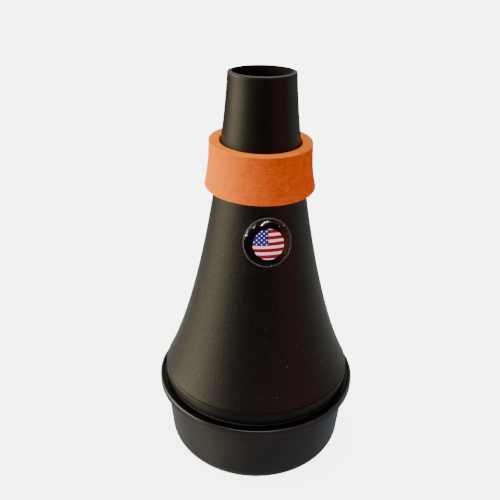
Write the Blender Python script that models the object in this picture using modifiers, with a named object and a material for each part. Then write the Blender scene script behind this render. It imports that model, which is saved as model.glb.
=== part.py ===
"""Trumpet practice mute: a flared bell, a cup that closes it, a sponge sealing ring on the neck,
and the perforated tube, baffle and damping inside. Metres, +Z up, standing on its base at the
origin, with the badge facing -Y."""

from math import atan2, cos, pi, radians, sin

import bmesh
import bpy
import numpy as np
from mathutils import Matrix, Vector
from mathutils.geometry import interpolate_bezier

# Fits
fit_gap = 0.0003
turn_steps = 48
fine_steps = 32

# Bell: the neck, the flare and the band at its foot
height = 0.1688
neck_radius = 0.01315
neck_taper = radians(2.3)
neck_pull = 0.0192
rim_flare = radians(26.9)
rim_pull = 0.0400
bell_wall = 0.0017
mouth_round = 0.0008
band_radius = 0.0412
band_step = 0.00025
band_height = 0.0059
band_round = 0.0005
crease_width = 0.0005
crease_depth = 0.0003
spigot_wall = 0.0018
spigot_length = 0.0090

# Cup that closes the wide end, sized from the band that sits in it
lip_height = 0.0340
lip_overhang = 0.0030
lip_depth = 0.0034
lip_round = 0.0005
lip_draft = 0.0003
lip_bead = 0.0012
trough_depth = 0.0004
cup_step = 0.0003
cup_taper = 0.0019
cup_wall = 0.0018
cup_fillet = 0.0075
foot_width = 0.0050
foot_recess = 0.0012
floor_thickness = 0.0020
ledge_width = 0.0014

# Seam between bell and cup
gasket_thickness = 0.0005

# Baffle plate
baffle_thickness = 0.0015
baffle_hole_radius = 0.0015
baffle_hole_circle = 0.0250
baffle_hole_count = 12

# Inner tube, its plug and its bush in the neck
tube_radius = 0.0065
tube_wall = 0.0010
tube_hole_radius = 0.0012
tube_hole_rows = 7
tube_hole_pitch = 0.0085
tube_hole_lift = 0.0240
plug_flange_reach = 0.0015
plug_flange = 0.0016
plug_insert = 0.0060
plug_peg_radius = 0.0030
bush_depth = 0.0135
bush_length = 0.0120
bush_funnel = 0.0028
tube_stand_in = 0.0040

# Damping
sleeve_wall = 0.0035
sleeve_margin = 0.0060
pad_hole_gap = 0.0019
pad_thickness = 0.0030

# Vent bush
vent_bore_radius = 0.0015
vent_body_radius = 0.0040
vent_flange_radius = 0.0066
vent_flange = 0.0012
vent_stem_radius = 0.0030
vent_stem = 0.0070

# Sponge ring on the neck
ring_drop = 0.02635
ring_height = 0.01815
ring_top_wall = 0.00427
ring_waist_wall = 0.00356
ring_foot_wall = 0.00372
ring_grip = 0.0004
ring_bore_radius = 0.0172
ring_round = 0.0005
ring_tilt = radians(2.4)
ring_tilt_towards = radians(96)

# Badge, below the sponge ring
badge_clearance = 0.0067
badge_radius = 0.0096
label_thickness = 0.00035
dome_thickness = 0.0013
dome_edge = 0.0004
dome_inset = 0.0003
badge_gap = 0.0003

# Heights that follow from the sizes above
trough_z = lip_height - trough_depth
gasket_z = trough_z + fit_gap
band_z = gasket_z + gasket_thickness + fit_gap
rim_z = band_z + band_height
spigot_z = band_z - spigot_length
baffle_z = spigot_z - fit_gap - baffle_thickness
ledge_z = baffle_z - fit_gap
floor_z = foot_recess + floor_thickness
plug_z = baffle_z + baffle_thickness + fit_gap
tube_z = plug_z + plug_flange + fit_gap
bush_top_z = height - bush_depth
bush_z = bush_top_z - bush_length
tube_top_z = bush_z + tube_stand_in
tube_hole_z = tube_z + tube_hole_lift
ring_top_z = height - ring_drop
ring_foot_z = ring_top_z - ring_height
badge_z = ring_foot_z - badge_clearance - badge_radius

# Radii that follow
rim_radius = band_radius - band_step
lip_radius = band_radius + lip_overhang
cup_top_radius = band_radius + cup_step
cup_foot_radius = cup_top_radius - cup_taper
seat_radius = band_radius - cup_wall
spigot_radius = seat_radius - fit_gap
spigot_bore = spigot_radius - spigot_wall
ledge_radius = seat_radius - ledge_width
baffle_radius = seat_radius - fit_gap
tube_bore = tube_radius - tube_wall
plug_flange_radius = tube_radius + plug_flange_reach
pad_radius = cup_foot_radius - cup_fillet - fit_gap
pad_hole_radius = vent_flange_radius + pad_hole_gap
dome_radius = badge_radius - dome_inset


def horn_outline(count):
    """Points (r, z) down the outside of the bell, from the mouth to the crease above the band."""
    top = Vector((neck_radius, 0, height))
    foot = Vector((rim_radius, 0, rim_z))
    top_pull = top + neck_pull * Vector((sin(neck_taper), 0, -cos(neck_taper)))
    foot_pull = foot + rim_pull * Vector((-sin(rim_flare), 0, cos(rim_flare)))
    return [(p.x, p.z) for p in interpolate_bezier(top, top_pull, foot_pull, foot, count)]


fine_horn = np.array(horn_outline(400))[::-1]


def horn_radius(z):
    return float(np.interp(z, fine_horn[:, 1], fine_horn[:, 0]))


def arc(centre, radius, start, end, count=4):
    """Points (r, z) on an arc about centre, angles in degrees from +r towards +z."""
    angles = [radians(start + (end - start) * i / (count - 1)) for i in range(count)]
    return [(centre[0] + radius * cos(a), centre[1] + radius * sin(a)) for a in angles]


def clear_scene():
    for old in list(bpy.data.objects):
        bpy.data.objects.remove(old, do_unlink=True)


def new_collection(name):
    collection = bpy.data.collections.new(name)
    bpy.context.scene.collection.children.link(collection)
    return collection


def material(name, colour, roughness, metallic=0.0, alpha=1.0):
    made = bpy.data.materials.new(name)
    made.use_nodes = True
    shader = made.node_tree.nodes["Principled BSDF"]
    shader.inputs["Base Color"].default_value = (*colour, 1.0)
    shader.inputs["Roughness"].default_value = roughness
    shader.inputs["Metallic"].default_value = metallic
    shader.inputs["Alpha"].default_value = alpha
    return made


def plain_mesh(obj):
    """Replaces the object by the mesh that its modifiers make, with doubles merged."""
    graph = bpy.context.evaluated_depsgraph_get()
    mesh = bpy.data.meshes.new_from_object(obj.evaluated_get(graph))
    obj.modifiers.clear()
    obj.data = mesh
    shell = bmesh.new()
    shell.from_mesh(mesh)
    bmesh.ops.remove_doubles(shell, verts=shell.verts, dist=1e-6)
    shell.to_mesh(mesh)
    shell.free()


def turned(name, outline, collection, look, steps=turn_steps, closed=True):
    """A solid turned about Z from an outline of (r, z) that runs down its outer side."""
    count = len(outline)
    edges = [(i, (i + 1) % count) for i in range(count if closed else count - 1)]
    mesh = bpy.data.meshes.new(name)
    mesh.from_pydata([(r, 0, z) for r, z in outline], edges, [])
    obj = bpy.data.objects.new(name, mesh)
    collection.objects.link(obj)
    screw = obj.modifiers.new("turn", "SCREW")
    screw.axis = "Z"
    screw.steps = screw.render_steps = steps
    screw.use_merge_vertices = True
    screw.merge_threshold = 1e-5
    plain_mesh(obj)
    obj.data.materials.append(look)
    shade(obj)
    return obj


def shade(obj):
    obj.data.shade_smooth()
    obj.data.set_sharp_from_angle(angle=radians(35))


def cut(obj, cutter, name):
    boolean = obj.modifiers.new(name, "BOOLEAN")
    boolean.operation = "DIFFERENCE"
    boolean.object = cutter


def pins(name, places, radius, length, collection, sides=10):
    """One cutter of separate round pins, each placed by a matrix and centred on its length."""
    drill = bmesh.new()
    for place in places:
        bmesh.ops.create_cone(
            drill, cap_ends=True, segments=sides, radius1=radius, radius2=radius, depth=length, matrix=place
        )
    mesh = bpy.data.meshes.new(name)
    drill.to_mesh(mesh)
    drill.free()
    obj = bpy.data.objects.new(name, mesh)
    collection.objects.link(obj)
    obj.hide_render = True
    obj.display_type = "WIRE"
    return obj


def make_bell(parts, look):
    outside = [p for p in horn_outline(26) if p[1] < height - mouth_round]
    mouth = arc((neck_radius - mouth_round, height - mouth_round), mouth_round, 90, 0)
    crease = [
        (rim_radius, rim_z),
        (rim_radius - crease_depth, rim_z - crease_width / 2),
        (band_radius, rim_z - crease_width),
    ]
    band = arc((band_radius - band_round, band_z + band_round), band_round, 0, -90)
    spigot = [(spigot_radius, band_z), (spigot_radius, spigot_z), (spigot_bore, spigot_z)]
    inside_top = rim_z + band_height
    heights = [height - (height - inside_top) * i / 15 for i in range(16)]
    inside = [(horn_radius(z) - bell_wall, z) for z in heights]
    shoulder = [(spigot_bore, rim_z)]
    outline = mouth + outside[:-1] + crease + band + spigot + shoulder + inside[::-1]
    return turned("bell_shell", outline, parts, look)


def make_cup(parts, look):
    lip_foot = lip_height - lip_depth
    foot_radius = cup_foot_radius - cup_fillet
    bead_inner = lip_radius - lip_bead
    lip = arc((lip_radius - lip_round, lip_height - lip_round), lip_round, 90, 0)
    underside = [(lip_radius, lip_foot), (cup_top_radius, lip_foot - lip_draft)]
    fillet = arc((foot_radius, cup_fillet), cup_fillet, 0, -90, 9)
    recess = [(foot_radius - foot_width, 0), (foot_radius - foot_width - foot_recess, foot_recess)]
    vent_hole = vent_body_radius + fit_gap
    floor = [(vent_hole, foot_recess), (vent_hole, floor_z)]
    corner = cup_fillet - cup_wall
    inner_foot = cup_foot_radius - cup_wall
    inside = arc((inner_foot - corner, floor_z + corner), corner, -90, 0, 7)
    ledge = [(ledge_radius, ledge_z), (seat_radius, ledge_z), (seat_radius, trough_z)]
    bead = [(bead_inner - trough_depth, trough_z), (bead_inner, lip_height)]
    outline = lip + underside + fillet + recess + floor + inside + ledge + bead
    return turned("base_cup", outline, parts, look)


def make_gasket(parts, look):
    inner = spigot_radius + fit_gap
    outer = band_radius - band_round
    top = gasket_z + gasket_thickness
    outline = [(inner, top), (outer, top), (outer, gasket_z), (inner, gasket_z)]
    return turned("joint_gasket", outline, parts, look)


def make_baffle(parts, cutters, look):
    bore = plug_peg_radius + fit_gap
    top = baffle_z + baffle_thickness
    outline = [(bore, top), (baffle_radius, top), (baffle_radius, baffle_z), (bore, baffle_z)]
    plate = turned("baffle_plate", outline, parts, look)
    turns = [2 * pi * i / baffle_hole_count for i in range(baffle_hole_count)]
    middle = baffle_z + baffle_thickness / 2
    places = [
        Matrix.Translation((baffle_hole_circle * cos(a), baffle_hole_circle * sin(a), middle)) for a in turns
    ]
    drill = pins("baffle_drill", places, baffle_hole_radius, 3 * baffle_thickness, cutters)
    cut(plate, drill, "holes")
    return plate


def make_tube(parts, cutters, look):
    outline = [
        (tube_bore, tube_top_z),
        (tube_radius, tube_top_z),
        (tube_radius, tube_z),
        (tube_bore, tube_z),
    ]
    tube = turned("throat_tube", outline, parts, look, fine_steps)
    places = []
    for row in range(tube_hole_rows):
        z = tube_hole_z + row * tube_hole_pitch
        for side in range(2):
            turn = pi / 2 * side + pi / 4 * (row % 2) + pi / fine_steps
            lift = Matrix.Translation((0, 0, z))
            places.append(lift @ Matrix.Rotation(turn, 4, "Z") @ Matrix.Rotation(pi / 2, 4, "X"))
    # The two crossing pins of a row would overlap in one cutter, so each direction has its own.
    for side in range(2):
        name = ("tube_drill", "tube_cross_drill")[side]
        drill = pins(name, places[side::2], tube_hole_radius, 4 * tube_radius, cutters, 8)
        cut(tube, drill, name)
    return tube


def make_plug(parts, look):
    insert_radius = tube_bore - fit_gap
    top = tube_z + plug_insert
    outline = [
        (0, top),
        (insert_radius, top),
        (insert_radius, plug_z + plug_flange),
        (plug_flange_radius, plug_z + plug_flange),
        (plug_flange_radius, plug_z),
        (plug_peg_radius, plug_z),
        (plug_peg_radius, baffle_z - baffle_thickness),
        (0, baffle_z - baffle_thickness),
    ]
    return turned("tube_end_plug", outline, parts, look, fine_steps, closed=False)


def make_neck_bush(parts, look):
    def seat(z):
        return horn_radius(z) - bell_wall - fit_gap

    socket = tube_radius + fit_gap
    stop = tube_top_z + fit_gap
    outline = [
        (seat(bush_top_z), bush_top_z),
        (seat(bush_z + bush_length / 2), bush_z + bush_length / 2),
        (seat(bush_z), bush_z),
        (socket, bush_z),
        (socket, stop),
        (tube_bore, stop),
        (tube_bore, bush_top_z - bush_funnel),
        (tube_bore + bush_funnel, bush_top_z),
    ]
    return turned("neck_bush", outline, parts, look)


def make_sleeve(parts, look):
    inner = tube_radius + fit_gap
    low = tube_hole_z - sleeve_margin
    high = tube_hole_z + (tube_hole_rows - 1) * tube_hole_pitch + sleeve_margin
    outer = inner + sleeve_wall
    outline = [(inner, high), (outer, high), (outer, low), (inner, low)]
    return turned("damping_sleeve", outline, parts, look, fine_steps)


def make_floor_pad(parts, look):
    low = floor_z + fit_gap
    high = low + pad_thickness
    outline = [(pad_hole_radius, high), (pad_radius, high), (pad_radius, low), (pad_hole_radius, low)]
    return turned("floor_pad", outline, parts, look)


def make_vent_bush(parts, look):
    flange_z = floor_z + fit_gap
    flange_top = flange_z + vent_flange
    stem_top = flange_top + vent_stem
    low = foot_recess + fit_gap
    outline = [
        (vent_bore_radius, stem_top),
        (vent_stem_radius, stem_top),
        (vent_stem_radius, flange_top),
        (vent_flange_radius, flange_top),
        (vent_flange_radius, flange_z),
        (vent_body_radius, flange_z),
        (vent_body_radius, low),
        (vent_bore_radius, low),
    ]
    return turned("vent_bush", outline, parts, look, fine_steps)


def make_seal_ring(parts, look):
    """Sponge ring, its straight bore stretched by the flare below, sheared so that it sits a little
    askew."""
    def seat(z):
        return horn_radius(z) + ring_grip

    side = []
    for i in range(6):
        share = i / 6
        z = ring_top_z - ring_height * share
        # A parabola through the three thicknesses.
        wall = (
            ring_top_wall * (1 - share) * (1 - 2 * share)
            + ring_waist_wall * 4 * share * (1 - share)
            + ring_foot_wall * share * (2 * share - 1)
        )
        side.append((seat(z) + wall, z))
    foot_radius = seat(ring_foot_z) + ring_foot_wall
    corner = arc((foot_radius - ring_round, ring_foot_z + ring_round), ring_round, 0, -90)
    heights = [ring_foot_z + ring_height * share for share in (0, 0.25, 0.5, 1)]
    bore = [(max(seat(z), ring_bore_radius), z) for z in heights]
    ring = turned("seal_ring", side + corner + bore, parts, look)
    tilt = Matrix.Identity(4)
    rise = sin(ring_tilt)
    tilt[2][0] = rise * cos(ring_tilt_towards)
    tilt[2][1] = rise * sin(ring_tilt_towards)
    ring.data.transform(tilt)
    return ring


def wrap_on_bell(obj):
    """Bends a flat round piece, modelled about +Z, onto the front of the bell."""
    step = 0.001
    fall = (horn_radius(badge_z - step) - horn_radius(badge_z + step)) / (2 * step)
    lean = atan2(fall, 1)
    radius = horn_radius(badge_z)
    for vertex in obj.data.vertices:
        across, along, out = vertex.co
        z = badge_z + along * cos(lean)
        turn = across / radius - pi / 2
        reach = horn_radius(z) + out * cos(lean)
        vertex.co = (reach * cos(turn), reach * sin(turn), z + out * sin(lean))


def make_badge(parts, label_look, dome_look):
    """The printed label and the clear dome over it, turned flat and then wrapped on the bell."""
    rings = [badge_radius * share for share in (0, 0.25, 0.5, 0.75)]
    label_low = badge_gap
    label_top = label_low + label_thickness
    label_outline = [(r, label_top) for r in rings + [badge_radius]]
    label_outline += [(r, label_low) for r in [badge_radius] + rings[::-1]]
    label = turned("badge_label", label_outline, parts, label_look, fine_steps, closed=False)
    low = label_top + fit_gap
    rise = dome_thickness - dome_edge
    dome_outline = []
    for share in (0, 0.3, 0.55, 0.75, 0.89, 0.97, 1):
        dome_outline.append((dome_radius * share, low + dome_edge + rise * (1 - share**4) ** 0.5))
    dome_outline += [(r, low) for r in [dome_radius] + rings[::-1]]
    dome = turned("badge_dome", dome_outline, parts, dome_look, fine_steps, closed=False)
    for piece in (label, dome):
        wrap_on_bell(piece)
        shade(piece)
    return label, dome


def main():
    clear_scene()
    parts = new_collection("trumpet_practice_mute")
    cutters = new_collection("cutters")
    black = material("black_moulding", (0.018, 0.017, 0.016), 0.42)
    cup_black = material("satin_black_moulding", (0.024, 0.023, 0.022), 0.38)
    sponge = material("orange_sponge_rubber", (0.80, 0.25, 0.07), 0.9)
    rubber = material("black_rubber", (0.012, 0.012, 0.012), 0.7)
    tube_black = material("black_tube_plastic", (0.03, 0.03, 0.03), 0.45)
    white_plastic = material("natural_plastic", (0.62, 0.60, 0.55), 0.5)
    foam = material("charcoal_foam", (0.06, 0.06, 0.065), 0.95)
    felt = material("grey_felt", (0.16, 0.16, 0.15), 0.95)
    brass = material("turned_brass", (0.78, 0.57, 0.25), 0.3, 1.0)
    label = material("printed_label", (0.01, 0.01, 0.012), 0.3)
    resin = material("clear_resin", (0.9, 0.9, 0.9), 0.04, 0.0, 0.3)
    make_bell(parts, black)
    make_cup(parts, cup_black)
    make_gasket(parts, rubber)
    make_baffle(parts, cutters, white_plastic)
    make_tube(parts, cutters, tube_black)
    make_plug(parts, white_plastic)
    make_neck_bush(parts, tube_black)
    make_sleeve(parts, foam)
    make_floor_pad(parts, felt)
    make_vent_bush(parts, brass)
    make_seal_ring(parts, sponge)
    make_badge(parts, label, resin)


main()
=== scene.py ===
from math import atan2, cos, exp, pi, radians, sin, tan

import bmesh
import bpy
import numpy as np
from mathutils import Matrix, Vector, noise
from mathutils.bvhtree import BVHTree
from mathutils.geometry import interpolate_bezier
from mathutils.interpolate import poly_3d_calc


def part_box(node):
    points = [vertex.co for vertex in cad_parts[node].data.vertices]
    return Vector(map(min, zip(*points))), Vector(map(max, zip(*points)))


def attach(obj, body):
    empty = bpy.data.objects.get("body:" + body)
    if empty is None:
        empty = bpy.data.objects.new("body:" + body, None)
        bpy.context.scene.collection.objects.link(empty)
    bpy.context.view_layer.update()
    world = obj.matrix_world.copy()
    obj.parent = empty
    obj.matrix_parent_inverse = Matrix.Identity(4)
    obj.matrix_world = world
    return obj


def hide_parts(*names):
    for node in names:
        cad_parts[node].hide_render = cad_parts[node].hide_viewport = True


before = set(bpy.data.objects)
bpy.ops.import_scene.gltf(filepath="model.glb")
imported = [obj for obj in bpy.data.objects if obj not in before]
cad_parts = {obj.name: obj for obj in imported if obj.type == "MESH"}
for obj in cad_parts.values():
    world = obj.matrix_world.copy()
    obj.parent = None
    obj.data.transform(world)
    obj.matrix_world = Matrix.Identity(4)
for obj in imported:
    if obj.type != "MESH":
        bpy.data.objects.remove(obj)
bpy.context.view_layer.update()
print("frame loaded:", len(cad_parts), "nodes")

bellLow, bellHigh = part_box("bell_shell")
cupLow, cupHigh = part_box("base_cup")
gasketLow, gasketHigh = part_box("joint_gasket")
bushLow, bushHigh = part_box("neck_bush")
tubeLow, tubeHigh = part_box("throat_tube")
sleeveLow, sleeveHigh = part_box("damping_sleeve")
padLow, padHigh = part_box("floor_pad")
ventLow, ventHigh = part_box("vent_bush")
baffleLow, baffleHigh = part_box("baffle_plate")
fineStep = 0.001         # longest stretch of a turned outline without a point
fitGap = 0.0003          # between pieces that are pressed or glued together
mergeReach = 1e-7
sharpAngle = radians(40)


# A socket of a node tree that takes part in sums
class Wire:
    def __init__(self, tree, socket):
        self.tree = tree
        self.socket = socket

    def maths(self, operation, *others):
        node = self.tree.nodes.new("ShaderNodeMath")
        node.operation = operation
        for slot, value in zip(node.inputs, (self, *others)):
            plug(self.tree, slot, value)
        return Wire(self.tree, node.outputs[0])

    def __add__(self, other):
        return self.maths("ADD", other)

    def __radd__(self, other):
        return self.maths("ADD", other)

    def __sub__(self, other):
        return self.maths("SUBTRACT", other)

    def __rsub__(self, other):
        return (self * -1).maths("ADD", other)

    def __mul__(self, other):
        return self.maths("MULTIPLY", other)

    def __rmul__(self, other):
        return self.maths("MULTIPLY", other)

    def __truediv__(self, other):
        return self.maths("DIVIDE", other)

    def __rtruediv__(self, other):
        return self.maths("POWER", -1) * other

    def __lt__(self, other):
        return self.maths("LESS_THAN", other)

    def __gt__(self, other):
        return self.maths("GREATER_THAN", other)

    # Another output of the same node
    def twin(self, name):
        return Wire(self.tree, self.socket.node.outputs[name])


def plug(tree, slot, value):
    if isinstance(value, Wire):
        tree.links.new(value.socket, slot)
    elif value is not None:
        slot.default_value = value


# One node tree being written, for a material, the surroundings or geometry
class Web:
    def __init__(self, tree):
        self.tree = tree

    def add(self, kind, settings=None, values=None, out=0):
        node = self.tree.nodes.new(kind)
        for key, value in (settings or {}).items():
            setattr(node, key, value)
        for key, value in (values or {}).items():
            plug(self.tree, node.inputs[key], value)
        return Wire(self.tree, node.outputs[out]) if len(node.outputs) else None

    def parts(self, vector):
        split = self.add("ShaderNodeSeparateXYZ", None, {0: vector})
        return [split.twin(name) for name in ("X", "Y", "Z")]

    def noise(self, coords, scale, detail=2.0, rough=0.5):
        values = {"Vector": coords, "Scale": scale, "Detail": detail, "Roughness": rough}
        return self.add("ShaderNodeTexNoise", None, values, "Fac")

    def cells(self, coords, scale):
        values = {"Vector": coords, "Scale": scale}
        return self.add("ShaderNodeTexVoronoi", {"feature": "F1"}, values, "Distance")

    def mix(self, share, first, second):
        values = {0: share, 6: first, 7: second}
        return self.add("ShaderNodeMix", {"data_type": "RGBA", "clamp_factor": True}, values, 2)

    def span(self, value, low, high, to=(0.0, 1.0)):
        values = {"Value": value, "From Min": low, "From Max": high, "To Min": to[0], "To Max": to[1]}
        return self.add("ShaderNodeMapRange", {"clamp": True}, values)

    def bump(self, height, distance, strength=1.0, normal=None):
        values = {"Height": height, "Distance": distance, "Strength": strength, "Normal": normal}
        return self.add("ShaderNodeBump", None, values)


def newMaterial(name, write):
    made = bpy.data.materials.new(name)
    made.use_nodes = True
    made.node_tree.nodes.clear()
    web = Web(made.node_tree)
    web.add("ShaderNodeOutputMaterial", None, {"Surface": write(web)})
    return made


def principled(web, values):
    return web.add("ShaderNodeBsdfPrincipled", None, values)


def objectCoords(web):
    return web.add("ShaderNodeTexCoord", None, None, "Object")


def rgb(red, green, blue):
    return (red, green, blue, 1.0)


def arc(centre, radius, start, end, count=7):
    angles = [radians(start + (end - start) * i / (count - 1)) for i in range(count)]
    return [(centre[0] + radius * cos(a), centre[1] + radius * sin(a)) for a in angles]


# Points no further apart than step along an outline
def spaced(outline, step):
    out = []
    for (r0, z0), (r1, z1) in zip(outline, outline[1:]):
        count = max(1, int(((r1 - r0) ** 2 + (z1 - z0) ** 2) ** 0.5 / step))
        out += [(r0 + (r1 - r0) * i / count, z0 + (z1 - z0) * i / count) for i in range(count)]
    return out + [outline[-1]]


def newGroup(name, inputs):
    tree = bpy.data.node_groups.new(name, "GeometryNodeTree")
    sockets = {"Geometry": "NodeSocketGeometry", **inputs, "Material": "NodeSocketMaterial"}
    for label, kind in sockets.items():
        tree.interface.new_socket(label, in_out="INPUT", socket_type=kind)
    tree.interface.new_socket("Geometry", in_out="OUTPUT", socket_type="NodeSocketGeometry")
    return tree


def endGroup(web, geometry, look):
    whole = web.add("GeometryNodeRealizeInstances", None, {"Geometry": geometry})
    dressed = web.add("GeometryNodeSetMaterial", None, {"Geometry": whole, "Material": look})
    web.add("NodeGroupOutput", None, {0: dressed})


# Geometry Nodes that turn the outline held by an object about Z
def turningTree():
    tree = newGroup("turnOutline", {"Steps": "NodeSocketInt"})
    web = Web(tree)
    outline = web.add("NodeGroupInput")
    count = web.add("GeometryNodeAttributeDomainSize", {"component": "MESH"}, {0: outline}, "Point Count")
    grid = web.add("GeometryNodeMeshGrid", None, {
        "Size X": 1.0, "Size Y": 1.0, "Vertices X": outline.twin("Steps") + 1, "Vertices Y": count})
    across, down = web.parts(web.add("GeometryNodeInputPosition"))[:2]
    row = ((down + 0.5) * (count - 1)).maths("ROUND")
    point = web.add("GeometryNodeSampleIndex", {"data_type": "FLOAT_VECTOR", "domain": "POINT"}, {
        "Geometry": outline, "Value": web.add("GeometryNodeInputPosition"), "Index": row})
    spun = web.add("ShaderNodeVectorRotate", {"rotation_type": "Z_AXIS"}, {
        "Vector": point, "Angle": (across + 0.5) * (2 * pi)})
    moved = web.add("GeometryNodeSetPosition", None, {"Geometry": grid, "Position": spun})
    closed = web.add("GeometryNodeMergeByDistance", None, {"Geometry": moved, "Distance": mergeReach})
    smooth = web.add("GeometryNodeSetShadeSmooth", None, {"Geometry": closed})
    endGroup(web, smooth, outline.twin("Material"))
    return tree


def setInputs(modifier, tree, values):
    modifier.node_group = tree
    for item in tree.interface.items_tree:
        if item.in_out == "INPUT" and item.name in values:
            modifier[item.identifier] = values[item.name]


# The evaluated object as a plain mesh, doubles merged and faces pointing out
def settle(obj):
    graph = bpy.context.evaluated_depsgraph_get()
    mesh = bpy.data.meshes.new_from_object(obj.evaluated_get(graph))
    obj.modifiers.clear()
    obj.data = mesh
    shell = bmesh.new()
    shell.from_mesh(mesh)
    bmesh.ops.remove_doubles(shell, verts=shell.verts, dist=mergeReach)
    bmesh.ops.dissolve_degenerate(shell, edges=shell.edges, dist=mergeReach / 10)
    bmesh.ops.recalc_face_normals(shell, faces=shell.faces)
    shell.to_mesh(mesh)
    shell.free()
    mesh.shade_smooth()
    mesh.set_sharp_from_angle(angle=sharpAngle)
    return obj


def newObject(name, mesh):
    obj = bpy.data.objects.new(name, mesh)
    bpy.context.scene.collection.objects.link(obj)
    return obj


turnOutline = turningTree()


# A piece turned about Z from its outline, in this many steps round
def turned(name, outline, look, steps, closed=True, step=fineStep):
    points = spaced(outline + outline[:1] if closed else outline, step)
    mesh = bpy.data.meshes.new(name)
    mesh.from_pydata([(r, 0, z) for r, z in points], [(i, i + 1) for i in range(len(points) - 1)], [])
    obj = newObject(name, mesh)
    turning = obj.modifiers.new("turn", "NODES")
    setInputs(turning, turnOutline, {"Steps": steps, "Material": look})
    return settle(obj)


# The body that a piece rides on, and the nodes that it stands for
def place(obj, body, slotName, *nodes):
    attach(obj, body)
    if nodes:
        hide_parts(*nodes)


# Sizes are in metres, and a pattern's scale is in cells to the metre
bell = {
    "neckRadius": 0.01315, "neckTaper": radians(2.3), "neckPull": 0.0192,
    "rimRadius": 0.04095, "rimFlare": radians(26.9), "rimPull": 0.0400,
    "wall": 0.0017, "mouthSlope": 0.0014, "mouthDrop": 0.0002, "mouthRound": 0.0003,
    "bandHeight": 0.0059, "bandRound": 0.0007, "creaseWidth": 0.0006, "creaseDepth": 0.00035,
    "spigotWall": 0.0018, "cupWall": 0.0018,
    "dark": rgb(0.0017, 0.0012, 0.0009), "worn": rgb(0.0027, 0.0019, 0.0014),
    "speck": rgb(0.030, 0.027, 0.023), "dust": rgb(0.12, 0.115, 0.10),
    # depth is painted shade for the inside of the neck's mouth
    "depth": rgb(0.001, 0.001, 0.001), "mouthShadeDepth": 0.03, "roughness": 0.385, "specular": 0.25,
    "grain": 1750, "grainDepth": 0.00020, "cloud": 55, "cloudDepth": 0.00012,
    "speckShare": 0.6, "dustScale": 250, "dustRarity": 0.62, "dustSize": 0.075, "dustEdge": 0.03,
    "bandGrain": 0.25, "bandBlend": 0.0003, "neckGrain": 0.45, "neckFrom": 0.122, "neckTo": 0.144,
}


def bellSurface(web):
    coords = objectCoords(web)
    x, y, z = web.parts(coords)
    grain = web.noise(coords, bell["grain"], 2.0, 0.6)
    cloud = web.noise(coords, bell["cloud"], 3.0)
    bandEdge = gasketHigh.z + fitGap + bell["bandHeight"]
    blend = bell["bandBlend"]
    onFlare = web.span(z, bandEdge - blend, bandEdge + blend, (bell["bandGrain"], 1.0))
    moulded = web.span(z, bell["neckFrom"], bell["neckTo"], (1.0, bell["neckGrain"])) * onFlare
    colour = web.mix(web.span(cloud, 0.35, 0.75), bell["dark"], bell["worn"])
    specks = web.span(grain, 0.56, 0.74) * moulded * bell["speckShare"]
    colour = web.mix(specks, colour, bell["speck"])
    # Here and there a light speck of dust
    cells = web.cells(coords, bell["dustScale"])
    chosen = web.parts(cells.twin("Color"))[0] > bell["dustRarity"]
    dust = web.span(cells, bell["dustSize"], bell["dustSize"] - bell["dustEdge"]) * chosen * moulded
    colour = web.mix(dust, colour, bell["dust"])
    # The inside of the neck is painted darker, as painted shade, and is rougher
    radius = (x * x + y * y).maths("SQRT")
    inNeck = radius < bell["neckRadius"] - bell["wall"] * 0.9
    mouthShade = inNeck * (z > bellHigh.z - bell["mouthShadeDepth"])
    colour = web.mix(mouthShade, colour, bell["depth"])
    rough = bell["roughness"] + (grain - 0.5) * 0.10 + (cloud - 0.5) * 0.08 + mouthShade * 0.5
    normal = web.bump(grain * moulded, bell["grainDepth"], 1.0)
    normal = web.bump(cloud, bell["cloudDepth"], 0.5, normal)
    return principled(web, {
        "Base Color": colour, "Roughness": rough, "Normal": normal, "Specular IOR Level": bell["specular"]})


# The flare of the bell: one curve from the neck down to the band
def hornCurve(count):
    rimZ = gasketHigh.z + fitGap + bell["bandHeight"]
    top = Vector((bell["neckRadius"], 0, bellHigh.z))
    foot = Vector((bell["rimRadius"], 0, rimZ))
    topPull = top + bell["neckPull"] * Vector((sin(bell["neckTaper"]), 0, -cos(bell["neckTaper"])))
    footPull = foot + bell["rimPull"] * Vector((-sin(bell["rimFlare"]), 0, cos(bell["rimFlare"])))
    return [(p.x, p.z) for p in interpolate_bezier(top, topPull, footPull, foot, count)]


fineHorn = np.array(hornCurve(600))[::-1]


def hornRadius(z):
    return float(np.interp(z, fineHorn[:, 1], fineHorn[:, 0]))


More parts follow.
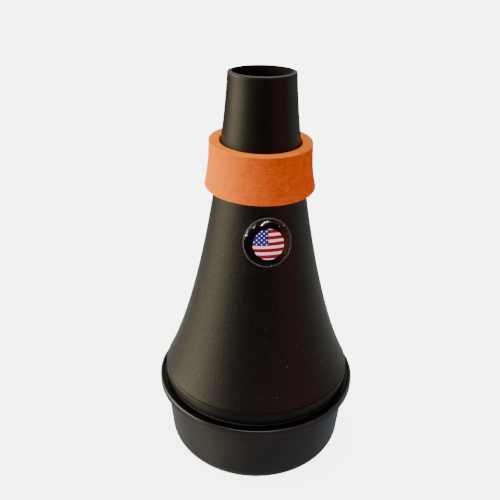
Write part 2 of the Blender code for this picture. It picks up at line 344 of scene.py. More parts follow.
def makeBell(look):
    top = bellHigh.z
    bandZ = gasketHigh.z + fitGap
    rimZ = bandZ + bell["bandHeight"]
    bandRadius = bellHigh.x
    spigotRadius = bandRadius - bell["cupWall"] - fitGap
    bore = spigotRadius - bell["spigotWall"]
    # The rim slopes outwards from its inner edge
    small = bell["mouthRound"]
    slope = atan2(bell["mouthDrop"], bell["mouthSlope"])
    corner = (bell["neckRadius"] - small, top - bell["mouthDrop"] - small * (1 - tan(slope / 2)))
    outside = [p for p in hornCurve(110) if p[1] < corner[1]]
    mouth = [(bell["neckRadius"] - bell["wall"], top), (bell["neckRadius"] - bell["mouthSlope"], top)]
    mouth += arc(corner, small, 90 - slope * 180 / pi, 0)
    # A fine groove with rounded shoulders parts the flare from the band
    half = bell["creaseWidth"] / 2
    deep = bell["creaseDepth"]
    crease = [
        (bell["rimRadius"], rimZ), (bell["rimRadius"] - deep * 0.7, rimZ - half * 0.6),
        (bell["rimRadius"] - deep, rimZ - half), (bandRadius - deep * 0.5, rimZ - half * 1.6),
        (bandRadius, rimZ - half * 2.4),
    ]
    band = arc((bandRadius - bell["bandRound"], bandZ + bell["bandRound"]), bell["bandRound"], 0, -90)
    spigot = [(spigotRadius, bandZ), (spigotRadius, bellLow.z), (bore, bellLow.z), (bore, rimZ)]
    insideTop = rimZ + bell["bandHeight"]
    inside = [(r - bell["wall"], z) for r, z in hornCurve(70) if insideTop < z < top - fineStep]
    outline = mouth + outside[:-1] + crease + band + spigot + inside[::-1]
    place(turned("bell_moulding", outline, look, 192), "mute", "black_moulding", "bell_shell")


cup = {
    "lipDepth": 0.0034, "lipRound": 0.0005, "bead": 0.0012, "troughDepth": 0.0004,
    "topRadius": 0.0415, "footRadius": 0.0396, "wall": 0.0018, "fillet": 0.0075, "footWidth": 0.0050,
    "recess": 0.0012, "floor": 0.0020, "ledgeWidth": 0.0014, "ventHole": 0.0043, "underRound": 0.0004,
    "dark": rgb(0.0156, 0.0147, 0.0134), "worn": rgb(0.0290, 0.0272, 0.0250),
    "scuff": rgb(0.05, 0.047, 0.042), "trough": rgb(0.001, 0.001, 0.0012),
    "troughFrom": 0.0012, "troughTo": 0.0006,
    "roughness": 0.38, "specular": 0.12, "edgeGloss": 0.18,
    "flow": 38, "flowDepth": 0.0003, "fine": 1500, "fineDepth": 0.00004,
    "scratches": (70, 70, 900), "scratchShare": 0.12, "scuffs": 420, "scuffHeight": 0.0035, "scuffShare": 0.6,
}


def cupSurface(web):
    coords = objectCoords(web)
    x, y, z = web.parts(coords)
    flow = web.noise(coords, cup["flow"], 4.0)
    fine = web.noise(coords, cup["fine"], 2.0)
    streaks = web.add("ShaderNodeMapping", None, {"Vector": coords, "Scale": cup["scratches"]})
    scratch = web.span(web.noise(streaks, 1.6, 3.0, 0.7), 0.67, 0.72)
    foot = web.span(z, cup["scuffHeight"], 0.0)
    scuffed = web.span(web.noise(coords, cup["scuffs"], 3.0), 0.45, 0.62) * foot
    colour = web.mix(web.span(flow, 0.3, 0.7), cup["dark"], cup["worn"])
    colour = web.mix(scuffed * cup["scuffShare"] + scratch * cup["scratchShare"], colour, cup["scuff"])
    # The trough inside the lip lies in the shade
    shade = web.span(z, cupHigh.z - cup["troughFrom"], cupHigh.z - cup["troughTo"])
    colour = web.mix(shade, colour, cup["trough"])
    rough = cup["roughness"] + (flow - 0.5) * 0.12 + scuffed * 0.18 + (fine - 0.5) * 0.05
    normal = web.bump(fine, cup["fineDepth"], 0.6)
    normal = web.bump(flow, cup["flowDepth"], 0.35, normal)
    # The turned edge of the lip is polished by handling
    radius = (x * x + y * y).maths("SQRT")
    polished = web.span(radius, cupHigh.x - cup["lipRound"] * 1.3, cupHigh.x - cup["lipRound"])
    polished = polished * web.span(z, cupHigh.z - cup["lipRound"] * 1.6, cupHigh.z - cup["lipRound"])
    return principled(web, {
        "Base Color": colour, "Roughness": rough, "Normal": normal, "Specular IOR Level": cup["specular"],
        "Coat Weight": polished, "Coat Roughness": cup["edgeGloss"]})


def makeCup(look):
    lipZ = cupHigh.z
    lipRadius = cupHigh.x
    lipFoot = lipZ - cup["lipDepth"]
    troughZ = lipZ - cup["troughDepth"]
    floorZ = cup["recess"] + cup["floor"]
    foot = cup["footRadius"] - cup["fillet"]
    seat = bellHigh.x - cup["wall"]
    lip = arc((lipRadius - cup["lipRound"], lipZ - cup["lipRound"]), cup["lipRound"], 90, 0)
    small = cup["underRound"]
    under = arc((lipRadius - small, lipFoot + small), small, 0, -90, 5)
    under += [(cup["topRadius"] + small, lipFoot), (cup["topRadius"], lipFoot - small)]
    fillet = arc((foot, cup["fillet"]), cup["fillet"], 0, -90, 24)
    recess = [(foot - cup["footWidth"], 0.0), (foot - cup["footWidth"] - cup["recess"], cup["recess"])]
    floor = [(cup["ventHole"], cup["recess"]), (cup["ventHole"], floorZ)]
    corner = cup["fillet"] - cup["wall"]
    inner = cup["footRadius"] - cup["wall"]
    inside = arc((inner - corner, floorZ + corner), corner, -90, 0, 12)
    ledgeZ = baffleLow.z - fitGap
    ledge = [(seat - cup["ledgeWidth"], ledgeZ), (seat, ledgeZ), (seat, troughZ)]
    beadInner = lipRadius - cup["bead"]
    bead = [(beadInner - cup["troughDepth"], troughZ), (beadInner, lipZ)]
    outline = lip + under + fillet + recess + floor + inside + ledge + bead
    place(turned("cup_moulding", outline, look, 192), "mute", "satin_black_moulding", "base_cup")


ring = {
    "drop": 0.02635, "height": 0.01815, "topWall": 0.0046, "waistWall": 0.0037, "footWall": 0.0038,
    "grip": 0.0004, "bore": 0.0163, "topRound": 0.0002, "footRound": 0.0005,
    "tilt": radians(2.5), "tiltTowards": radians(106), "sideFrom": 0.03, "sideReach": 0.93, "sideRows": 46,
    "wrinkle": 0.00010, "wrinkleScale": (260, 260, 1100), "swell": 0.00016, "swellScale": 95,
    "swellShift": 3.1, "sink": 0.0001, "heldReach": 0.0008, "freeReach": 0.002,
    "nickTurn": radians(-47), "nickWide": 0.0010, "nickDeep": 0.0005,
    "deep": rgb(0.80, 0.105, 0.010), "main": rgb(0.95, 0.172, 0.013), "pale": rgb(0.99, 0.31, 0.018),
    # cut is painted light falling on the upper face
    "cut": rgb(0.99, 0.31, 0.035), "cutShare": 0.6, "cutFrom": 0.0004, "cutTo": 0.0001,
    # faded is painted light on the side towards the key lamp
    "litSide": rgb(0.95, 0.27, 0.002), "litSideShare": 0.45, "litSideFrom": -0.005, "litSideTo": -0.019,
    "pores": 1500, "folds": 420, "foldFlat": (1, 1, 3.4), "foldShare": 0.55, "mottle": 380,
    "pits": 1300, "pitShare": 0.7, "skinDepth": 0.00014, "roughness": 0.88, "specular": 0.02,
}


def spongeSurface(web):
    coords = objectCoords(web)
    x, y, z = web.parts(coords)
    cells = web.cells(coords, ring["pores"])
    flat = web.add("ShaderNodeMapping", None, {"Vector": coords, "Scale": ring["foldFlat"]})
    folds = web.noise(flat, ring["folds"], 3.0, 0.65)
    mottle = web.noise(coords, ring["mottle"], 4.0, 0.7)
    pits = web.span(web.noise(coords, ring["pits"], 2.0), 0.62, 0.72)
    colour = web.mix(web.span(mottle, 0.34, 0.66), ring["deep"], ring["main"])
    colour = web.mix(web.span(folds, 0.50, 0.72) * ring["foldShare"], colour, ring["pale"])
    colour = web.mix(pits * ring["pitShare"], colour, ring["deep"])
    # The upper face is painted paler than the side, as painted light from above
    plane = z - (x * cos(ring["tiltTowards"]) + y * sin(ring["tiltTowards"])) * sin(ring["tilt"])
    top = bellHigh.z - ring["drop"]
    litTop = web.span(plane, top - ring["cutFrom"], top - ring["cutTo"])
    colour = web.mix(litTop * ring["cutShare"], colour, ring["cut"])
    # The side towards the key lamp is painted paler and yellower, as painted light
    litSide = web.span(x, ring["litSideFrom"], ring["litSideTo"])
    colour = web.mix(litSide * ring["litSideShare"], colour, ring["litSide"])
    normal = web.bump(cells * 0.5 + folds * 1.2 - pits * 0.8, ring["skinDepth"], 0.9)
    rough = ring["roughness"] + (mottle - 0.5) * 0.12
    return principled(web, {
        "Base Color": colour, "Roughness": rough, "Normal": normal, "Specular IOR Level": ring["specular"]})


def makeRing(look):
    top = bellHigh.z - ring["drop"]
    foot = top - ring["height"]

    def seat(z):
        return hornRadius(z) + ring["grip"]

    # The outer side, hollow at its waist, at a share of the way down
    def side(share):
        wall = (ring["topWall"] * (1 - share) * (1 - 2 * share) + ring["waistWall"] * 4 * share * (1 - share)
                + ring["footWall"] * share * (2 * share - 1))
        z = top - ring["height"] * share
        return seat(z) + wall, z

    edge = ring["topRound"]
    outline = arc((side(0)[0] - edge, top - edge), edge, 90, 0, 4)
    rows = ring["sideRows"]
    outline += [side(ring["sideFrom"] + ring["sideReach"] * i / rows) for i in range(rows + 1)]
    corner = ring["footRound"]
    outline += arc((side(1)[0] - corner, foot + corner), corner, 0, -90)
    outline += [(max(seat(z), ring["bore"]), z) for z in np.linspace(foot, top - edge, 14)]
    outline += arc((ring["bore"] + edge, top - edge), edge, 180, 90, 4)
    obj = turned("sponge_ring", outline, look, 256, step=fineStep / 2)
    rise = sin(ring["tilt"])
    for vertex in obj.data.vertices:
        spot = Vector(vertex.co)
        radius = spot.xy.length
        # The bore keeps its shape, because it grips the neck
        free = min(1.0, max(0.0, (radius - seat(spot.z) - ring["heldReach"]) / ring["freeReach"]))
        crease = noise.noise(Vector([part * scale for part, scale in zip(spot, ring["wrinkleScale"])]))
        swell = noise.noise(spot * ring["swellScale"] + Vector((ring["swellShift"], 0, 0)))
        grow = (crease * ring["wrinkle"] + swell * ring["swell"] - ring["sink"]) * free
        # One small nick in the outer top edge
        away = ((atan2(spot.y, spot.x) - ring["nickTurn"]) * radius) ** 2 + (top - spot.z) ** 2
        nick = ring["nickDeep"] * exp(-away / ring["nickWide"] ** 2) * free
        outward = spot.xy / radius * (grow - nick)
        vertex.co.x += outward.x
        vertex.co.y += outward.y
        lean = cos(ring["tiltTowards"]) * spot.x + sin(ring["tiltTowards"]) * spot.y
        vertex.co.z += rise * lean - nick
    place(obj, "seal_ring", "orange_sponge_rubber", "seal_ring")


badge = {
    "height": 0.1081, "radius": 0.0096, "stretch": 1.02, "inset": 0.0003, "gap": 0.0003,
    "label": 0.00035, "labelEdge": 0.00008, "dome": 0.0013, "edge": 0.0004, "crownSteps": 32,
    "span": 0.0196, "step": 0.0006, "starGap": 0.00006, "starThickness": 0.00003,
    # rim is the label's grey edge, partly a painted highlight of the dome's rim
    "black": rgb(0.0015, 0.0015, 0.0017), "rim": rgb(0.055, 0.052, 0.050),
    "roughness": 0.55, "paper": 90,
}
flag = {
    "radius": 0.0060, "drop": 0.0007, "across": 0.0003, "stripe": 0.00123, "stripeStart": -0.00058,
    "redSpread": 0.13, "cantonRight": -0.0001, "cantonBottom": -0.0005,
    "blue": rgb(0.013, 0.008, 0.090), "red": rgb(0.112, 0.0065, 0.010), "white": rgb(0.74, 0.36, 0.42),
    "starRadius": 0.00034, "starPitch": 0.00187, "rowPitch": 0.000855, "starInset": 0.00072,
    "starLift": 0.00052, "columns": 5, "rows": 9,
    "starPrint": (rgb(0.55, 0.52, 0.80), rgb(0.62, 0.59, 0.88), 900, 0.00001, 0.6),
}


# A small striped flag printed on black, drawn on the label's own flat coordinates
def labelSurface(web):
    flat = web.add("ShaderNodeUVMap", {"uv_map": "flat"})
    middle = web.add("ShaderNodeMapping", None, {"Vector": flat, "Location": (-0.5, -0.5, 0)})
    reach = web.add("ShaderNodeVectorMath", {"operation": "LENGTH"}, {0: middle}, "Value") * badge["span"]
    shifted = web.add("ShaderNodeMapping", None, {
        "Vector": middle, "Location": (-flag["across"] / badge["span"], flag["drop"] / badge["span"], 0)})
    across, along = (part * badge["span"] for part in web.parts(shifted)[:2])
    phase = ((along - flag["stripeStart"]) / flag["stripe"]).maths("FLOORED_MODULO", 2.0)
    pale = phase > 1.0 + flag["redSpread"]
    colour = web.mix(pale, flag["red"], flag["white"])
    canton = (across < flag["cantonRight"]) * (along > flag["cantonBottom"])
    colour = web.mix(canton, colour, flag["blue"])
    outside = (across * across + along * along).maths("SQRT") > flag["radius"]
    colour = web.mix(outside, colour, badge["black"])
    # The label's grey edge beyond the dome: partly its own edge and partly a painted highlight of the dome's
    # rim
    rim = reach > badge["radius"] - badge["inset"] * 1.2
    colour = web.mix(rim, colour, badge["rim"])
    rough = badge["roughness"] + web.noise(flat, badge["paper"], 2.0) * 0.1
    return principled(web, {"Base Color": colour, "Roughness": rough, "Specular IOR Level": 0.0})


# The dome is clear, and this share of its Fresnel reflection shows
resin = {
    "share": 0.25, "bend": 1.5, "clear": rgb(1, 1, 1), "shine": rgb(0.95, 0.95, 0.95), "roughness": 0.045,
    "ripple": 0.08, "rippleScale": 160, "rippleDepth": 0.00002,
}


def resinSurface(web):
    coords = objectCoords(web)
    normal = web.bump(web.noise(coords, resin["rippleScale"], 1.0), resin["rippleDepth"], resin["ripple"])
    edge = web.add("ShaderNodeFresnel", None, {"IOR": resin["bend"], "Normal": normal}) * resin["share"]
    clear = web.add("ShaderNodeBsdfTransparent", None, {"Color": resin["clear"]})
    gloss = principled(web, {
        "Base Color": resin["shine"], "Metallic": 1.0, "Roughness": resin["roughness"], "Normal": normal})
    return web.add("ShaderNodeMixShader", None, {0: edge, 1: clear, 2: gloss})


# Lays a flat mesh, made about the middle of the badge, on the curve of the bell
def wrapOnBell(mesh):
    middle = badge["height"]
    lean = atan2((hornRadius(middle - fineStep) - hornRadius(middle + fineStep)) / (2 * fineStep), 1)
    for vertex in mesh.vertices:
        across, along, out = vertex.co
        along *= badge["stretch"]
        z = middle + along * cos(lean)
        turn = across / hornRadius(middle) - pi / 2
        reach = hornRadius(z) + out * cos(lean)
        vertex.co = (reach * cos(turn), reach * sin(turn), z + out * sin(lean))


# The label's place before it is wrapped, kept as its UV map
def flatUv(mesh):
    layer = mesh.uv_layers.new(name="flat")
    for loop in mesh.loops:
        co = mesh.vertices[loop.vertex_index].co
        layer.data[loop.index].uv = (co.x / badge["span"] + 0.5, co.y / badge["span"] + 0.5)


# Staggered rows of stars that fill the upper left part of the flag
def starTree():
    names = ("Star Radius", "Pitch", "Row Pitch", "Flag Radius", "Right", "Bottom", "Inset", "Lift")
    tree = newGroup("flagStars", {name: "NodeSocketFloat" for name in names})
    web = Web(tree)
    held = web.add("NodeGroupInput")
    size, pitch, rowPitch, reach, right, bottom, inset, lift = (held.twin(name) for name in names)
    columns = flag["columns"]
    rows = flag["rows"]
    grid = web.add("GeometryNodeMeshGrid", None, {
        "Size X": pitch * (columns - 1), "Size Y": rowPitch * (rows - 1),
        "Vertices X": columns, "Vertices Y": rows})
    row = (web.parts(web.add("GeometryNodeInputPosition"))[1] / rowPitch).maths("ROUND")
    stagger = row.maths("FLOORED_MODULO", 2.0) * pitch * 0.5
    shift = web.add("ShaderNodeCombineXYZ", None, {
        "X": stagger + right - inset - pitch * ((columns - 1) / 2),
        "Y": bottom + lift + rowPitch * ((rows - 1) / 2)})
    moved = web.add("GeometryNodeSetPosition", None, {"Geometry": grid, "Offset": shift})
    x, y = web.parts(web.add("GeometryNodeInputPosition"))[:2]
    beyond = (x * x + y * y).maths("SQRT") + size * 0.3 > reach
    outside = beyond.maths("MAXIMUM", x + size > right)
    kept = web.add("GeometryNodeDeleteGeometry", {"domain": "POINT"}, {
        "Geometry": moved, "Selection": outside})
    star = web.add("GeometryNodeCurveStar", None, {
        "Points": 5, "Inner Radius": size * 0.5, "Outer Radius": size})
    spread = web.add("GeometryNodeInstanceOnPoints", None, {
        "Points": kept, "Instance": web.add("GeometryNodeFillCurve", None, {"Curve": star}),
        "Rotation": (0, 0, pi / 2)})
    endGroup(web, spread, held.twin("Material"))
    return tree


def makeStars(look, height):
    stars = newObject("flag_stars", bpy.data.meshes.new("stars"))
    spread = stars.modifiers.new("stars", "NODES")
    setInputs(spread, starTree(), {
        "Star Radius": flag["starRadius"], "Pitch": flag["starPitch"], "Row Pitch": flag["rowPitch"],
        "Flag Radius": flag["radius"], "Right": flag["cantonRight"], "Bottom": flag["cantonBottom"],
        "Inset": flag["starInset"], "Lift": flag["starLift"], "Material": look})
    thick = stars.modifiers.new("thick", "SOLIDIFY")
    thick.thickness = badge["starThickness"]
    settle(stars)
    stars.data.transform(Matrix.Translation((flag["across"], -flag["drop"], height)))
    wrapOnBell(stars.data)
    place(stars, "mute", "printed_label")
    return stars


def makeBadge(labelLook, resinLook, starLook):
    low = badge["gap"]
    top = low + badge["label"]
    edge = badge["labelEdge"]
    radius = badge["radius"]
    outline = [(0, top), (radius - edge, top), (radius, top - edge), (radius, low), (0, low)]
    label = turned("printed_label", outline, labelLook, 96, closed=False, step=badge["step"])
    flatUv(label.data)
    wrapOnBell(label.data)
    place(label, "mute", "printed_label", "badge_label")
    low = top + fitGap
    rise = badge["dome"] - badge["edge"]
    radius -= badge["inset"]
    crown = []
    for i in range(badge["crownSteps"] + 1):
        share = sin(pi / 2 * i / badge["crownSteps"])
        crown.append((radius * share, low + badge["edge"] + rise * max(0.0, 1 - share ** 4) ** 0.5))
    outline = crown + [(radius, low), (0, low)]
    dome = turned("resin_dome", outline, resinLook, 128, closed=False, step=badge["step"])
    wrapOnBell(dome.data)
    place(dome, "mute", "clear_resin", "badge_dome")
    return label, dome, makeStars(starLook, top + badge["starGap"])


inner = {
    "gasketWide": 0.0012, "gasketRound": 0.0002, "tubeWall": 0.0010, "funnel": 0.0028,
    "ventBore": 0.0015, "ventBody": 0.0040, "ventStem": 0.0030, "flange": 0.0012, "bevel": 0.0002,
    "sleeveRound": 0.0006, "padHole": 0.0085, "padRound": 0.0008, "padPile": 0.00025,
    "pileScale": 320, "softStep": 0.0012,
}


# A plain moulded, foamed or felted surface with its own grain
def grained(dark, light, scale, depth, roughness, metallic=0.0):
    def write(web):
        coords = objectCoords(web)
        grain = web.noise(coords, scale, 3.0, 0.6)
        cloud = web.noise(coords, scale * 0.06, 3.0)
        colour = web.mix(grain * 0.6 + cloud * 0.4, dark, light)
        rough = roughness + (cloud - 0.5) * 0.15
        normal = web.bump(grain, depth, 0.8)
        return principled(web, {
            "Base Color": colour, "Roughness": rough, "Metallic": metallic, "Normal": normal})
    return write


# Dark and light colour, scale and depth of the grain, roughness, and 1 for metal
innerLooks = {
    "rubber": (rgb(0.008, 0.008, 0.008), rgb(0.02, 0.02, 0.02), 1500, 0.00005, 0.75),
    "tube": (rgb(0.018, 0.018, 0.018), rgb(0.04, 0.04, 0.04), 1200, 0.00003, 0.45),
    "natural": (rgb(0.55, 0.53, 0.48), rgb(0.68, 0.66, 0.61), 900, 0.00003, 0.5),
    "foam": (rgb(0.02, 0.02, 0.022), rgb(0.10, 0.10, 0.105), 1700, 0.0004, 0.95),
    "felt": (rgb(0.10, 0.10, 0.095), rgb(0.24, 0.24, 0.23), 1100, 0.0003, 0.95),
    "brass": (rgb(0.62, 0.42, 0.16), rgb(0.82, 0.60, 0.28), 700, 0.00002, 0.28, 1.0),
}


def makeGasket(look):
    small = inner["gasketRound"]
    inside = gasketHigh.x - inner["gasketWide"]
    outline = [
        (inside, gasketHigh.z), (gasketHigh.x - small, gasketHigh.z), (gasketHigh.x, gasketHigh.z - small),
        (gasketHigh.x, gasketLow.z), (inside, gasketLow.z)]
    place(turned("seam_gasket", outline, look, 160), "mute", "black_rubber", "joint_gasket")


def makeBush(look):
    socket = tubeHigh.x + fitGap
    bore = tubeHigh.x - inner["tubeWall"]
    stop = tubeHigh.z + fitGap
    funnel = inner["funnel"]
    seat = [(hornRadius(z) - bell["wall"] - fitGap, z) for z in np.linspace(bushHigh.z, bushLow.z, 8)]
    throat = [(bore, stop)] + arc((bore + funnel, bushHigh.z - funnel), funnel, 180, 90)
    outline = seat + [(socket, bushLow.z), (socket, stop)] + throat
    place(turned("throat_bush", outline, look, 96), "mute", "black_tube_plastic", "neck_bush")


def makeVent(look):
    low = cup["recess"] + cup["floor"] + fitGap
    high = low + inner["flange"]
    bevel = inner["bevel"]
    stem = inner["ventStem"]
    bore = inner["ventBore"]
    outline = [
        (bore + bevel, ventHigh.z), (stem - bevel, ventHigh.z), (stem, ventHigh.z - bevel), (stem, high),
        (ventHigh.x - bevel, high), (ventHigh.x, high - bevel), (ventHigh.x, low), (inner["ventBody"], low),
        (inner["ventBody"], ventLow.z), (bore + bevel, ventLow.z), (bore, ventLow.z + bevel),
        (bore, ventHigh.z - bevel)]
    place(turned("vent_bush_turned", outline, look, 96), "mute", "turned_brass", "vent_bush")


def makeSleeve(look):
    inside = tubeHigh.x + fitGap
    outside = sleeveHigh.x
    small = inner["sleeveRound"]
    outline = [
        (inside, sleeveHigh.z), (outside - small, sleeveHigh.z), (outside, sleeveHigh.z - small),
        (outside, sleeveLow.z + small), (outside - small, sleeveLow.z), (inside, sleeveLow.z)]
    obj = turned("foam_sleeve", outline, look, 96, step=inner["softStep"])
    place(obj, "mute", "charcoal_foam", "damping_sleeve")


def makePad(look):
    hole = inner["padHole"]
    rim = padHigh.x
    small = inner["padRound"]
    outline = [
        (hole, padHigh.z), (rim - small, padHigh.z), (rim, padHigh.z - small), (rim, padLow.z),
        (hole, padLow.z)]
    obj = turned("felt_pad", outline, look, 128, step=inner["softStep"])
    for vertex in obj.data.vertices:
        if vertex.co.z > padLow.z + fineStep:
            pile = noise.noise(Vector(vertex.co) * inner["pileScale"])
            vertex.co.z -= inner["padPile"] * (0.5 + 0.5 * pile)
    place(obj, "mute", "grey_felt", "floor_pad")


# The perforated pieces keep the frame's own meshes and only get a finish
def makeInside():
    looks = {name: newMaterial("inner_" + name, grained(*values)) for name, values in innerLooks.items()}
    makeGasket(looks["rubber"])
    makeBush(looks["tube"])
    makeVent(looks["brass"])
    makeSleeve(looks["foam"])
    makePad(looks["felt"])
    for node, look in (("baffle_plate", "natural"), ("throat_tube", "tube"), ("tube_end_plug", "natural")):
        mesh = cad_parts[node].data
        mesh.materials.clear()
        mesh.materials.append(looks[look])


# The camera: how far back and how high it stands, where it points, and its lens
view = {
    "back": 0.23266, "height": 0.2108, "turn": radians(9.6), "yaw": radians(-0.88),
    "pitch": radians(26.608), "roll": radians(0.898), "lens": 44.05, "sensor": 36, "pixels": 500,
    "nearest": 0.01,
}


def makeCamera():
    yaw = view["yaw"] + view["turn"]
    pitch = view["pitch"]
    roll = view["roll"]
    ahead = Vector((sin(yaw) * cos(pitch), cos(yaw) * cos(pitch), -sin(pitch)))
    level = Vector((cos(yaw), -sin(yaw), 0))
    above = level.cross(ahead)
    right = cos(roll) * level + sin(roll) * above
    up = cos(roll) * above - sin(roll) * level
    data = bpy.data.cameras.new("camera")
    data.lens = view["lens"]
    data.sensor_width = view["sensor"]
    data.clip_start = view["nearest"]
    camera = newObject("camera", data)
    turn = Matrix((right, up, -ahead)).transposed().to_4x4()
    spot = Vector((-view["back"] * sin(view["turn"]), -view["back"] * cos(view["turn"]), view["height"]))
    camera.matrix_world = Matrix.Translation(spot) @ turn
    bpy.context.scene.camera = camera


# Soft lights all round the object: azimuth from the camera's side towards the right, elevation, how
# wide and how tall in degrees, and radiance
studio = {
    "lights": [
        (-69.3, -41.1, 10.0, 63.0, (2.05, 1.57, 1.17)),
        (-88.1, 0.8, 19.1, 25.7, (6.53, 5.63, 3.30)),
        (-91.2, 17.4, 35.6, 10.0, (14.0, 13.1, 10.7)),
        (109.3, -7.5, 28.0, 11.8, (0.80, 0.78, 0.62)),
        (56.9, -13.7, 11.3, 10.0, (2.82, 0.61, 0.33)),
        (-149.6, -60.0, 24.8, 10.0, (1.6, 1.2, 0.9)),
        (49.5, 23.5, 60.0, 10.0, (2.7, 1.25, 1.35)),
        (-168.2, -27.8, 57.6, 10.0, (0.75, 0.62, 0.50)),
        (180.0, 42.0, 35.0, 20.0, (1.9, 1.9, 1.8)),
        (-170.0, 15.0, 30.0, 10.0, (0.4, 0.4, 0.4)),
        (15.0, 30.0, 7.0, 3.5, (9.0, 9.0, 9.0)),
    ],
    "top": (14, (10.4, 10.4, 10.7)),             # how wide in degrees, and radiance
    "below": (-5, -40, (0.42, 0.53, 0.58)),      # elevations between which it sets in, and radiance
    "floorHalf": 9.0,
    "floorColour": rgb(0.92, 0.92, 0.92),
    "floorGlow": 5.0,
    "backdrop": 5.6,
}


# The direction from the object to the camera's side, and the direction to its right
def studioAxes():
    camera = bpy.context.scene.camera.matrix_world.to_3x3() @ Vector((0, 0, -1))
    front = -camera.xy.normalized()
    return front, Vector((-front.y, front.x))


def makeSurroundings():
    front, right = studioAxes()
    world = bpy.data.worlds.new("studio")
    bpy.context.scene.world = world
    world.use_nodes = True
    world.node_tree.nodes.clear()
    web = Web(world.node_tree)
    x, y, z = web.parts(web.add("ShaderNodeTexCoord", None, None, "Generated"))
    azimuth = (x * right.x + y * right.y).maths("ARCTAN2", x * front.x + y * front.y)
    rise = z.maths("ARCSINE")
    shapes = []
    for turn, height, wide, tall, radiance in studio["lights"]:
        across = (azimuth - radians(turn)).maths("WRAP", pi, -pi) / radians(wide)
        up = (rise - radians(height)) / radians(tall)
        shapes.append(((across * across + up * up) * -1, radiance))
    wide, radiance = studio["top"]
    fall = (rise - pi / 2) / radians(wide)
    shapes.append((fall * fall * -1, radiance))
    low, deep, floorLight = studio["below"]
    ramp = web.add("ShaderNodeMapRange", {"interpolation_type": "SMOOTHSTEP"}, {
        "Value": rise, "From Min": radians(low), "From Max": radians(deep)})
    sums = [ramp * part for part in floorLight]
    for power, radiance in shapes:
        shape = power.maths("EXPONENT")
        sums = [total + shape * part for total, part in zip(sums, radiance)]
    # Seen directly, the surroundings are as plain and pale as the floor
    seen = web.add("ShaderNodeLightPath", None, None, "Is Camera Ray")
    sums = [total * (1 - seen) + seen * studio["backdrop"] for total in sums]
    colour = web.add("ShaderNodeCombineXYZ", None, dict(zip(("X", "Y", "Z"), sums)))
    glow = web.add("ShaderNodeBackground", None, {"Color": colour, "Strength": 1.0})
    web.add("ShaderNodeOutputWorld", None, {"Surface": glow})


def makeFloor():
    half = studio["floorHalf"]
    corners = [(-half, -half, 0), (half, -half, 0), (half, half, 0), (-half, half, 0)]
    mesh = bpy.data.meshes.new("floor")
    mesh.from_pydata(corners, [], [(0, 1, 2, 3)])
    floor = newObject("floor", mesh)
    mesh.materials.append(newMaterial("pale_floor", lambda web: principled(web, {
        "Base Color": studio["floorColour"], "Roughness": 0.9, "Specular IOR Level": 0.1,
        "Emission Color": rgb(1, 1, 1), "Emission Strength": studio["floorGlow"]})))
    # The floor only shows to the camera, so its brightness doesn't flood the black mouldings
    floor.visible_glossy = False
    floor.visible_diffuse = False
    floor.visible_shadow = False
    floor.visible_transmission = False


# Small windows that the dome mirrors: their corners as seen in the frame, and radiance
badgeLights = {
    "fill": (-8, 30, 0.8, 0.5, 3.7),             # azimuth, elevation, size, distance, radiance
    "distance": 0.5,
    "windows": [
        (((264.3, 222.0), (264.9, 221.2), (270.6, 220.7), (270.0, 221.5)), 450),
        (((261.2, 225.7), (261.8, 224.9), (266.3, 224.0), (265.7, 225.0)), 450),
        (((251.9, 226.0), (252.3, 225.2), (254.8, 224.5), (254.5, 225.4)), 400),
        (((253.4, 228.1), (253.9, 227.2), (255.2, 226.8), (254.8, 227.8)), 400),
        (((245.3, 238.6), (245.9, 234.8), (247.9, 231.2), (247.0, 234.9)), 400),
        (((279.1, 227.2), (279.9, 226.0), (281.9, 225.8), (281.1, 226.9)), 40),
        (((282.4, 225.0), (283.0, 224.5), (284.4, 225.0), (283.8, 225.7)), 25),
    ],
}


# Lets a lamp or a lit pane reach only these pieces
def linkedTo(lamp, name, receivers):
    group = bpy.data.collections.new(name)
    for receiver in receivers:
        group.objects.link(receiver)
    lamp.light_linking.receiver_collection = group


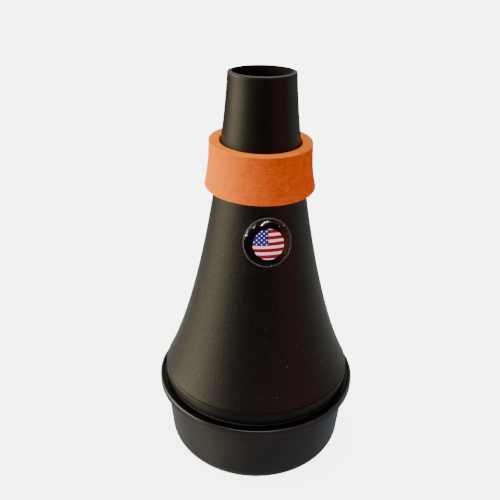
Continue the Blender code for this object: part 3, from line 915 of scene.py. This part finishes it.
# A soft lamp in front of the badge that lights its print alone
def makeFill(label, stars):
    turn, height, size, away, radiance = badgeLights["fill"]
    front, right = studioAxes()
    flat = (front * cos(radians(turn)) + right * sin(radians(turn))) * cos(radians(height))
    way = Vector((flat.x, flat.y, sin(radians(height))))
    data = bpy.data.lights.new("labelFill", "AREA")
    data.shape = "SQUARE"
    data.size = size
    data.energy = pi * size * size * radiance
    lamp = newObject("labelFill", data)
    lamp.location = Vector((0, 0, badge["height"])) + way * away
    lamp.rotation_euler = (-way).to_track_quat("-Z", "Y").to_euler()
    lamp.visible_camera = False
    linkedTo(lamp, "labelOnly", (label, stars))


# Where the dome mirrors the surroundings at a place in the frame
def mirrored(mesh, tree, x, y):
    camera = bpy.context.scene.camera.matrix_world
    scale = view["sensor"] / view["lens"] / view["pixels"]
    half = view["pixels"] / 2
    ray = (camera.to_3x3() @ Vector(((x - half) * scale, (half - y) * scale, -1))).normalized()
    spot, facing, face, away = tree.ray_cast(camera.translation, ray)
    corners = [mesh.vertices[i] for i in mesh.polygons[face].vertices]
    shares = poly_3d_calc([corner.co for corner in corners], spot)
    normal = sum((corner.normal * share for corner, share in zip(corners, shares)), Vector()).normalized()
    return spot + ray.reflect(normal) * badgeLights["distance"]


def makeWindows(dome):
    mesh = dome.data
    tree = BVHTree.FromPolygons([v.co for v in mesh.vertices], [p.vertices for p in mesh.polygons])
    for number, (corners, radiance) in enumerate(badgeLights["windows"]):
        pane = bpy.data.meshes.new("window")
        pane.from_pydata([mirrored(mesh, tree, x, y) for x, y in corners], [], [(0, 1, 2, 3)])
        pane.materials.append(newMaterial("window_glow", lambda web: web.add(
            "ShaderNodeEmission", None, {"Strength": radiance})))
        obj = newObject("window%d" % number, pane)
        obj.visible_camera = False
        obj.visible_diffuse = False
        obj.visible_shadow = False
        obj.visible_transmission = False
        linkedTo(obj, "domeOnly%d" % number, (dome,))


def main():
    makeCamera()
    makeSurroundings()
    makeFloor()
    print("stage made")
    makeBell(newMaterial("bell_black", bellSurface))
    makeCup(newMaterial("cup_black", cupSurface))
    print("bell and cup turned")
    makeRing(newMaterial("sponge_orange", spongeSurface))
    print("sponge ring made")
    label, dome, stars = makeBadge(
        newMaterial("label_print", labelSurface), newMaterial("resin_clear", resinSurface),
        newMaterial("star_white", grained(*flag["starPrint"])))
    makeFill(label, stars)
    makeWindows(dome)
    print("badge made")
    makeInside()
    print("inside made")


main()
